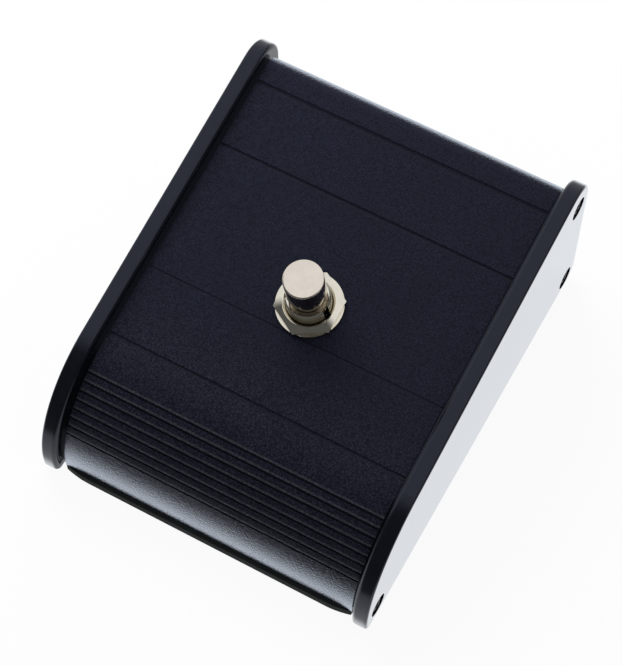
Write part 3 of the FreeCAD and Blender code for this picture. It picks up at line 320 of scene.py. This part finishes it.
def powder_coat(settings):
    """Black powder coat: pimpled like fine leather, satin, with a faint blue cast and a grazing sheen."""
    speck_colour = (0.036, 0.038, 0.043, 1)
    # Colour of the painted highlight bands on the ribs.
    rib_highlight_colour = (0.058, 0.060, 0.070, 1)
    skin_colour = (0.79, 0.87, 1.0, 1.0)
    finish = Finish("powder_coat", ior=1.45, specular_ior_level=0.1)
    place = finish.place()
    size = settings.grain_size
    coat = settings.coat_colour
    pimples = finish.add("ShaderNodeTexVoronoi", {"feature": "SMOOTH_F1"},
                         {"Vector": place, "Scale": 0.8 / size, "Smoothness": 0.6, "Randomness": 1.0})
    fine = finish.noise(place, size * 0.7, 3.0)
    cloud = finish.noise(place, 9 * MM, 3.0)
    grazing_light_patch = finish.noise(place, 1.7 * MM, 2.0)
    height = (1 - pimples) * 0.6 + fine * 0.6
    crest = height.smooth(0.6, 0.85)
    pit = 1 - height.smooth(0.38, 0.6)
    profile = Profile(finish)
    colour = finish.blend(crest * (cloud.smooth(0.3, 0.7) * 0.5 + 0.5), rgba(coat), rgba(coat, 1.9))
    colour = finish.blend(pit * 0.8, colour, rgba(coat, 0.6))
    # Painted light: lighter patches on the coat, fading in towards the left where the light grazes it.
    colour = finish.blend(grazing_light_patch.smooth(0.42, 0.68) * profile.left * 0.22, colour, rgba(coat, 2.2))
    colour = finish.blend(crest * profile.front * 0.5, colour, speck_colour)
    # Painted highlight: a light band just uphill of each rib groove, where the rounded lip would mirror the
    # bright floor.
    colour = finish.blend(profile.rib_highlights * (crest * 0.6 + 0.4), colour, rib_highlight_colour)
    # Painted shade: darker coat inside the panel's lines and the ribs' grooves, where shade falls in the
    # recess.
    colour = finish.blend(profile.lines * 0.5 + profile.grooves * 0.7, colour, rgba(coat, 0.4))
    rough = settings.coat_roughness + (cloud - 0.5) * 0.1 - crest * 0.1
    bumps = finish.bump(height, 0.08 * MM, 1.0)
    finish.feed(base_color=colour, roughness=rough, normal=bumps)
    facing = finish.add("ShaderNodeLayerWeight", None, {"Blend": 0.5, "Normal": bumps}, "Facing")
    skin = finish.add("ShaderNodeBsdfGlossy", None,
                      {"Color": skin_colour, "Roughness": settings.coat_roughness * 0.5,
                       "Normal": bumps})
    sheen = facing.smooth(0.335, 0.7) * settings.coat_sheen
    # Less sheen inside the lines and grooves, a painted shade on the gloss.
    return finish.cover(skin, sheen * (1 - profile.lines * 0.8 - profile.grooves * 0.9)).material


def gloss_plastic(settings):
    """Polished black moulding: a slight mottle, and a clear skin that mirrors more at a grazing angle."""
    skin_colour = (0.91, 0.95, 1.0, 1.0)
    finish = Finish("gloss_plastic", ior=1.45, specular_tint=(0.68, 0.75, 1.0, 1.0))
    place = finish.place()
    mottle = finish.noise(place, 3 * MM, 3.0)
    dust = finish.noise(place, 0.35 * MM, 2.0)
    hairline = finish.noise(place, 0.5 * MM, 2.0, stretch=(1.0, 0.05, 1.0)).smooth(0.66, 0.74)
    plate = settings.plate_colour
    colour = finish.blend(mottle.smooth(0.35, 0.7), rgba(plate), rgba(plate, 1.3))
    rough = settings.plate_roughness + mottle * 0.05 + hairline * 0.08 + dust.smooth(0.6, 0.8) * 0.03
    bumps = finish.bump(mottle + dust * 0.2, 0.02 * MM, 0.6)
    finish.feed(base_color=colour, roughness=rough, normal=bumps)
    facing = finish.add("ShaderNodeLayerWeight", None, {"Blend": 0.5}, "Facing")
    skin = finish.add("ShaderNodeBsdfGlossy", None,
                      {"Color": skin_colour, "Roughness": settings.plate_roughness, "Normal": bumps})
    across = finish.add("ShaderNodeSeparateXYZ", None, {"Vector": place}, "X").math("ABSOLUTE")
    outer = across.smooth(43.6 * MM, 44.8 * MM)
    return finish.cover(skin, facing.smooth(0.6, 0.85) * outer * 0.68).material


def black_steel():
    """Blackened screw steel, rubbed lighter in a fine random grain."""
    finish = Finish("black_steel", metallic=0.85, ior=1.5)
    place = finish.place()
    grain = finish.noise(place, 0.3 * MM, 3.0)
    colour = finish.blend(grain.smooth(0.4, 0.75), (0.018, 0.018, 0.019, 1), (0.045, 0.044, 0.045, 1))
    return finish.feed(base_color=colour, roughness=0.34 + grain * 0.12,
                       normal=finish.bump(grain, 0.012 * MM, 0.5)).material


def rubber(settings):
    """Matt rubber with a fine, slightly dusty grain."""
    finish = Finish("rubber", ior=1.4)
    place = finish.place()
    grain = finish.noise(place, 0.5 * MM, 4.0)
    dust = finish.noise(place, 6 * MM, 3.0).smooth(0.45, 0.75)
    colour = finish.blend(dust * 0.6 + grain * 0.2, rgba(settings.mat_colour), rgba(settings.mat_colour, 2.2))
    return finish.feed(base_color=colour, roughness=0.82 + grain * 0.12,
                       normal=finish.bump(grain, 0.06 * MM, 0.8)).material


def nickel(name, colour, roughness, rings=0.0, bright_from=1.0, seam=0.0):
    """Bright nickel plate with turning rings about the switch's axis.

    Beyond the radius bright_from it is smoother, and warmer and darker by a painted reflection tint, as on
    the button's side.
    Within the radius of a seam it is dark, a painted shade in the gap where two threads meet.
    """
    flank_reflection_colour = (0.66, 0.56, 0.45, 1)
    ring_pitch = 0.25 * MM
    finish = Finish(name, metallic=1.0)
    place = finish.place(tuple(SWITCH), (SLOPE, 0, 0))
    grain = finish.noise(place, 0.4 * MM, 3.0)
    cloud = finish.noise(place, 2.5 * MM, 2.0)
    tint = finish.blend(cloud.smooth(0.3, 0.75), rgba(colour, 0.96), rgba(colour, 1.04))
    flat = finish.add("ShaderNodeVectorMath", {"operation": "MULTIPLY"}, {0: place, 1: (1.0, 1.0, 0.0)})
    radius = finish.add("ShaderNodeVectorMath", {"operation": "LENGTH"}, {0: flat}, "Value")
    polished = radius.smooth(bright_from - 0.12 * MM, bright_from)
    # Painted reflection: the flank's nickel is tinted warm brown and darker, so that what it mirrors looks
    # brown.
    tint = finish.blend(polished * 0.7, tint, flank_reflection_colour)
    # Painted shade: darker inside the seam's radius, in the gap between the nut's bore and the bush.
    if seam:
        tint = finish.blend(1 - radius.smooth(seam, seam + 0.2 * MM), tint, rgba(colour, 0.3))
    satin = roughness + (cloud - 0.5) * 0.06 + grain.smooth(0.55, 0.8) * 0.05
    rough = satin * (1 - polished * 0.65)
    wave = (radius * (2 * math.pi / ring_pitch)).math("SINE")
    height = wave * (0.5 * rings) + grain * 0.4
    return finish.feed(base_color=tint, roughness=rough,
                       normal=finish.bump(height, 0.004 * MM, 1.0)).material


def plain_metal(name, colour, roughness):
    """Plated or bare sheet metal with rolling marks."""
    finish = Finish(name, metallic=1.0)
    place = finish.place()
    grain = finish.noise(place, 0.4 * MM, 3.0, stretch=(1.0, 0.15, 1.0))
    cloud = finish.noise(place, 3 * MM, 2.0)
    tint = finish.blend(cloud.smooth(0.3, 0.75), rgba(colour, 0.9), rgba(colour, 1.05))
    rough = roughness + (grain - 0.5) * 0.12
    return finish.feed(base_color=tint, roughness=rough, normal=finish.bump(grain, 0.006 * MM, 0.7)).material


def phenolic():
    """Brown laminated board, its paper plies showing as fine layers."""
    finish = Finish("phenolic", ior=1.5)
    place = finish.place()
    plies = finish.noise(place, 0.25 * MM, 2.0, stretch=(0.05, 0.05, 1.0))
    cloud = finish.noise(place, 2 * MM, 3.0)
    colour = finish.blend(plies * 0.6 + cloud * 0.4, (0.16, 0.075, 0.03, 1), (0.33, 0.17, 0.075, 1))
    return finish.feed(base_color=colour, roughness=0.42 + cloud * 0.15,
                       normal=finish.bump(plies, 0.01 * MM, 0.5)).material


def nylon():
    """Milky moulded nylon."""
    finish = Finish("nylon", ior=1.5)
    place = finish.place()
    cloud = finish.noise(place, 1.5 * MM, 3.0)
    colour = finish.blend(cloud.smooth(0.3, 0.7), (0.62, 0.6, 0.53, 1), (0.78, 0.76, 0.7, 1))
    return finish.feed(base_color=colour, roughness=0.38 + cloud * 0.1,
                       normal=finish.bump(cloud, 0.01 * MM, 0.4)).material


def insulation(name, colour):
    """Soft lead insulation, with a slight variation along it."""
    finish = Finish(name, ior=1.48)
    place = finish.place()
    cloud = finish.noise(place, 1.2 * MM, 3.0)
    tint = finish.blend(cloud.smooth(0.3, 0.7), rgba(colour, 0.8), rgba(colour, 1.1))
    return finish.feed(base_color=tint, roughness=0.36 + cloud * 0.12,
                       normal=finish.bump(cloud, 0.008 * MM, 0.5)).material


def solder():
    """Bright, slightly frosted solder."""
    finish = Finish("solder", metallic=1.0)
    place = finish.place()
    frost = finish.noise(place, 0.25 * MM, 3.0)
    colour = finish.blend(frost.smooth(0.4, 0.7), (0.5, 0.5, 0.5, 1), (0.72, 0.72, 0.71, 1))
    return finish.feed(base_color=colour, roughness=0.22 + frost * 0.25,
                       normal=finish.bump(frost, 0.01 * MM, 0.7)).material


def finish_piece(name, shape, place, direction, material, smooth_faces):
    """Stand a shape on a place along a direction, and make it an object."""
    bmesh.ops.recalc_face_normals(shape, faces=shape.faces)
    turn = Vector((0, 0, 1)).rotation_difference(direction).to_matrix().to_4x4()
    bmesh.ops.transform(shape, matrix=Matrix.Translation(place) @ turn, verts=shape.verts)
    for face in smooth_faces:
        face.smooth = True
    mesh = bpy.data.meshes.new(name)
    shape.to_mesh(mesh)
    shape.free()
    mesh.materials.append(material)
    piece = bpy.data.objects.new(name, mesh)
    bpy.context.scene.collection.objects.link(piece)
    return piece


def add_spun_piece(name, profile, place, direction, material, body):
    """A piece turned from a profile of (radius, height) corners, standing on a place along a direction."""
    shape = bmesh.new()
    corners = [shape.verts.new((radius, 0, height)) for radius, height in profile]
    edges = [shape.edges.new(pair) for pair in zip(corners, corners[1:])]
    bmesh.ops.spin(shape, geom=corners + edges, cent=(0, 0, 0), axis=(0, 0, 1), dvec=(0, 0, 0),
                   angle=2 * math.pi, steps=40, use_merge=True, use_duplicate=False)
    bmesh.ops.remove_doubles(shape, verts=shape.verts, dist=1e-7)
    piece = finish_piece(name, shape, place, direction, material, shape.faces)
    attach(piece, body)
    return piece


def add_solder(name, place, direction, girth, material):
    """Drop of solder that wraps the lug at a lead's end and thins out along the lead."""
    lead = 0.6 * MM
    swell = girth - lead
    foot = 1.25
    length = 4.05
    tip = 2.84 * MM
    steps = 24
    bulge_end = 0.64
    profile = [(0.0, -foot * MM)]
    for step in range(1, steps + 1):
        part = step / steps
        bulge = math.sin(math.pi * min(1.0, part * 1.55) ** 0.8) if part < bulge_end else 0.0
        radius = lead * min(1.0, (part * 6) ** 0.5) + swell * max(0.0, bulge)
        profile.append((radius, (length * part - foot) * MM))
    profile += [(lead * 0.98, tip), (0.0, tip)]
    drop = add_spun_piece(name, profile, Vector(place) * MM, Vector(direction), material, "pedal")
    return drop


def add_return_spring(material):
    """Coil about the switch's axis that stands in for the CAD spring, and closes up under the button."""
    radius = 3.6 * MM
    wire = 0.7 * MM
    low = -5.8 * MM
    rise = 7.4 * MM
    turns = 5
    steps = 28 * turns
    shape = bmesh.new()
    start = Matrix.Translation((radius, 0, low)) @ Matrix.Rotation(math.pi / 2, 4, "X")
    bmesh.ops.create_circle(shape, cap_ends=True, segments=14, radius=wire / 2, matrix=start)
    section = shape.verts[:] + shape.edges[:] + shape.faces[:]
    bmesh.ops.spin(shape, geom=section, cent=(0, 0, 0), axis=(0, 0, 1), dvec=(0, 0, rise / steps),
                   angle=turns * 2 * math.pi, steps=steps, use_duplicate=False)
    sides = [face for face in shape.faces if len(face.verts) == 4]
    piece = finish_piece("closing_spring", shape, SWITCH, press_axis(), material, sides)
    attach(piece, "pedal")
    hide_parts("return_spring")
    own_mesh(piece)
    return piece


def dress(nodes, material):
    """Give CAD nodes one material."""
    for name in nodes:
        mesh = NODES[name].data
        mesh.materials.clear()
        mesh.materials.append(material)


class PEDAL_OT_shell(bpy.types.Operator):
    """Powder-coat the extruded shell and the base plate"""

    bl_idname = "pedal.shell"
    bl_label = "Shell"

    def execute(self, context):
        settings = context.scene.pedal_finish
        dress(["housing", "rear_rail", "back_panel", "base_plate"], powder_coat(settings))
        return {"FINISHED"}


class PEDAL_OT_side_plates(bpy.types.Operator):
    """Finish the two moulded side plates"""

    bl_idname = "pedal.side_plates"
    bl_label = "Side plates"

    def execute(self, context):
        dress(["left_side_plate", "right_side_plate"], gloss_plastic(context.scene.pedal_finish))
        return {"FINISHED"}


class PEDAL_OT_screws(bpy.types.Operator):
    """Blacken the screws of the sides and the base"""

    bl_idname = "pedal.screws"
    bl_label = "Screws"

    def execute(self, context):
        dress(["left_side_screws", "right_side_screws", "base_screws"], black_steel())
        return {"FINISHED"}


class PEDAL_OT_mat(bpy.types.Operator):
    """Finish the rubber mat"""

    bl_idname = "pedal.mat"
    bl_label = "Mat"

    def execute(self, context):
        dress(["rubber_mat"], rubber(context.scene.pedal_finish))
        return {"FINISHED"}


class PEDAL_OT_switch(bpy.types.Operator):
    """Plate the button, bush, nuts and washers"""

    bl_idname = "pedal.switch"
    bl_label = "Foot switch"

    def execute(self, context):
        colour = tuple(context.scene.pedal_finish.nickel_colour)
        dress(["push_button"], nickel("button_nickel", colour, 0.2, 0.4, 5.12 * MM))
        colour = (colour[0] * 0.97, colour[1], colour[2] * 0.97)
        dress(["switch_bush"], nickel("bush_nickel", colour, 0.07))
        dress(["switch_nut", "jam_nut"], nickel("nut_nickel", colour, 0.08, 0.3, seam=6.15 * MM))
        dress(["switch_washer", "lock_washer"], nickel("washer_nickel", colour, 0.12, 0.3))
        return {"FINISHED"}


class PEDAL_OT_switch_inside(bpy.types.Operator):
    """Finish the case, base, contacts and spring of the foot switch"""

    bl_idname = "pedal.switch_inside"
    bl_label = "Inside of the switch"

    def execute(self, context):
        dress(["switch_case"], plain_metal("tinned_case", (0.6, 0.59, 0.56), 0.32))
        dress(["switch_base", "jack_insulators"], phenolic())
        dress(["contact_carrier"], nylon())
        dress(["contact_bridge", "live_terminal", "common_terminal"],
              plain_metal("contact_brass", (0.72, 0.52, 0.22), 0.3))
        add_return_spring(plain_metal("spring_steel", (0.5, 0.5, 0.5), 0.24))
        return {"FINISHED"}


class PEDAL_OT_socket(bpy.types.Operator):
    """Finish the plug socket in the back wall"""

    bl_idname = "pedal.socket"
    bl_label = "Plug socket"

    def execute(self, context):
        colour = tuple(context.scene.pedal_finish.nickel_colour)
        dress(["jack_sleeve", "jack_nut", "jack_washer"], plain_metal("socket_nickel", colour, 0.2))
        dress(["jack_frame"], plain_metal("frame_steel", (0.58, 0.57, 0.55), 0.34))
        dress(["tip_spring"], plain_metal("nickel_silver", (0.62, 0.58, 0.48), 0.26))
        dress(["jack_rivets"], plain_metal("rivet_brass", (0.66, 0.55, 0.33), 0.3))
        return {"FINISHED"}


class PEDAL_OT_leads(bpy.types.Operator):
    """Finish the two leads and put solder on their ends"""

    bl_idname = "pedal.leads"
    bl_label = "Leads"

    def execute(self, context):
        dress(["signal_wire"], insulation("red_insulation", (0.5, 0.02, 0.015)))
        dress(["ground_wire"], insulation("black_insulation", (0.012, 0.012, 0.013)))
        metal = solder()
        along = (0, math.cos(SLOPE), math.sin(SLOPE))
        add_solder("live_solder", (-4.5, 3.98, 15.68), along, 1.0 * MM, metal)
        add_solder("common_solder", (4.5, 3.98, 15.68), along, 1.0 * MM, metal)
        add_solder("tip_solder", (-2.65, 48.15, 15.4), (-0.979, -0.205, 0), 0.78 * MM, metal)
        add_solder("earth_solder", (0, 26.4, 13.9), (0, -0.998, 0.057), 0.95 * MM, metal)
        return {"FINISHED"}


class PEDAL_OT_stage(bpy.types.Operator):
    """Set up the camera, the floor and the studio light"""

    bl_idname = "pedal.stage"
    bl_label = "Stage"

    def execute(self, context):
        settings = context.scene.pedal_stage
        add_camera(settings)
        add_floor(settings)
        add_key_lamp(settings)
        add_room(settings)
        context.scene.view_settings.view_transform = "Standard"
        return {"FINISHED"}


def add_camera(settings):
    """Camera on an orbit about the point it looks at, without depth of field."""
    lens = bpy.data.cameras.new("camera")
    lens.sensor_width = 36.0
    lens.lens = settings.lens
    lens.clip_start = 0.01
    camera = bpy.data.objects.new("camera", lens)
    tilt = Matrix.Rotation(math.pi / 2 - settings.elevation, 4, "X")
    turn = Matrix.Rotation(settings.azimuth, 4, "Z") @ tilt
    view = turn @ Matrix.Rotation(settings.roll, 4, "Z")
    place = Vector(settings.aim) + turn.to_3x3() @ Vector((0, 0, settings.distance))
    camera.matrix_world = Matrix.Translation(place) @ view
    bpy.context.scene.collection.objects.link(camera)
    bpy.context.scene.camera = camera


def add_floor(settings):
    """Pale floor that the camera and the metal see as white, apart from the pedal's shadow."""
    half_size = 3.0
    drop = 0.02 * MM
    lit_share = 0.93
    mesh = bpy.data.meshes.new("floor")
    shape = bmesh.new()
    bmesh.ops.create_grid(shape, x_segments=1, y_segments=1, size=half_size)
    bmesh.ops.translate(shape, vec=(0, 0, -drop), verts=shape.verts)
    shape.to_mesh(mesh)
    shape.free()
    floor = bpy.data.objects.new("floor", mesh)
    bpy.context.scene.collection.objects.link(floor)
    material = bpy.data.materials.new("floor")
    material.use_nodes = True
    tree = Tree(material.node_tree)
    matt = tree.add("ShaderNodeBsdfDiffuse", None, {"Color": rgba(settings.floor_colour)})
    sheet = tree.add("ShaderNodeSeparateXYZ", None, {"Vector": tree.place()}, "Y")
    sheet = sheet.smooth(-120 * MM, -90 * MM)
    camera = tree.add("ShaderNodeLightPath", output="Is Camera Ray")
    glossy = camera.other("Is Glossy Ray")
    strength = camera + glossy * (sheet * (1 - settings.wall_light) + settings.wall_light)
    white = tree.add("ShaderNodeEmission", None, {"Color": (1, 1, 1, 1), "Strength": strength})
    share = (camera + glossy) * lit_share
    both = tree.add("ShaderNodeMixShader", None, {0: share, 1: matt, 2: white})
    tree.add("ShaderNodeOutputMaterial", None, {"Surface": both})
    mesh.materials.append(material)


def add_key_lamp(settings):
    """Soft box behind and left of the pedal, turned to it; gloss doesn't mirror it."""
    place = Vector((-0.28, 0.28, 0.39))
    target = Vector((0, 0, 0.02))
    lamp = bpy.data.lights.new("key", "AREA")
    lamp.shape = "RECTANGLE"
    lamp.size = 0.47
    lamp.size_y = 0.39
    lamp.energy = settings.key_power
    box = bpy.data.objects.new("key", lamp)
    box.location = place
    box.rotation_euler = (target - place).to_track_quat("-Z", "Y").to_euler()
    box.visible_glossy = False
    bpy.context.scene.collection.objects.link(box)


def add_room(settings):
    """White for the camera, soft even light, and for gloss a bright ceiling and back over a dark front."""
    world = bpy.data.worlds.new("room")
    world.use_nodes = True
    bpy.context.scene.world = world
    tree = Tree(world.node_tree)
    direction = tree.add("ShaderNodeTexCoord", output="Generated")
    height = tree.add("ShaderNodeSeparateXYZ", None, {"Vector": direction}, "Z")
    back = height.other("Y")
    ceiling = (height + (back - height.other("X")) * 0.3).smooth(0.2, 0.45)
    bright = ceiling * back.smooth(-0.3, 0.05)
    gloss = bright * (settings.ceiling_light - settings.wall_light) + settings.wall_light
    camera = tree.add("ShaderNodeLightPath", output="Is Camera Ray")
    glossy = camera.other("Is Glossy Ray")
    strength = camera + glossy * gloss + (1 - camera - glossy) * settings.room_light
    light = tree.add("ShaderNodeBackground", None, {"Color": (1, 1, 1, 1), "Strength": strength})
    tree.add("ShaderNodeOutputWorld", None, {"Surface": light})


OPERATORS = (PEDAL_OT_shell, PEDAL_OT_side_plates, PEDAL_OT_screws, PEDAL_OT_mat, PEDAL_OT_switch,
             PEDAL_OT_switch_inside, PEDAL_OT_socket, PEDAL_OT_leads, PEDAL_OT_stage)


class PEDAL_PT_sidebar(bpy.types.Panel):
    """Sidebar with every setting and one button per group of pieces"""

    bl_label = "Foot pedal switch"
    bl_idname = "PEDAL_PT_sidebar"
    bl_space_type = "VIEW_3D"
    bl_region_type = "UI"
    bl_category = "Pedal"

    def draw(self, context):
        scene = context.scene
        groups = ((PedalFinishSettings, scene.pedal_finish), (PedalStageSettings, scene.pedal_stage))
        for group, settings in groups:
            for name in group.__annotations__:
                self.layout.prop(settings, name)
        for operator in OPERATORS:
            self.layout.operator(operator.bl_idname)


CLASSES = (PedalFinishSettings, PedalStageSettings, *OPERATORS, PEDAL_PT_sidebar)


def register():
    """Add the classes and settings."""
    for item in CLASSES:
        bpy.utils.register_class(item)
    bpy.types.Scene.pedal_finish = bpy.props.PointerProperty(type=PedalFinishSettings)
    bpy.types.Scene.pedal_stage = bpy.props.PointerProperty(type=PedalStageSettings)


def unregister():
    """Remove them again."""
    del bpy.types.Scene.pedal_stage
    del bpy.types.Scene.pedal_finish
    for item in reversed(CLASSES):
        bpy.utils.unregister_class(item)


def main():
    """Run every operator in order."""
    register()
    bpy.ops.pedal.shell()
    bpy.ops.pedal.side_plates()
    bpy.ops.pedal.screws()
    bpy.ops.pedal.mat()
    bpy.ops.pedal.switch()
    bpy.ops.pedal.switch_inside()
    bpy.ops.pedal.socket()
    bpy.ops.pedal.leads()
    bpy.ops.pedal.stage()


if __name__ == "__main__":
    main()
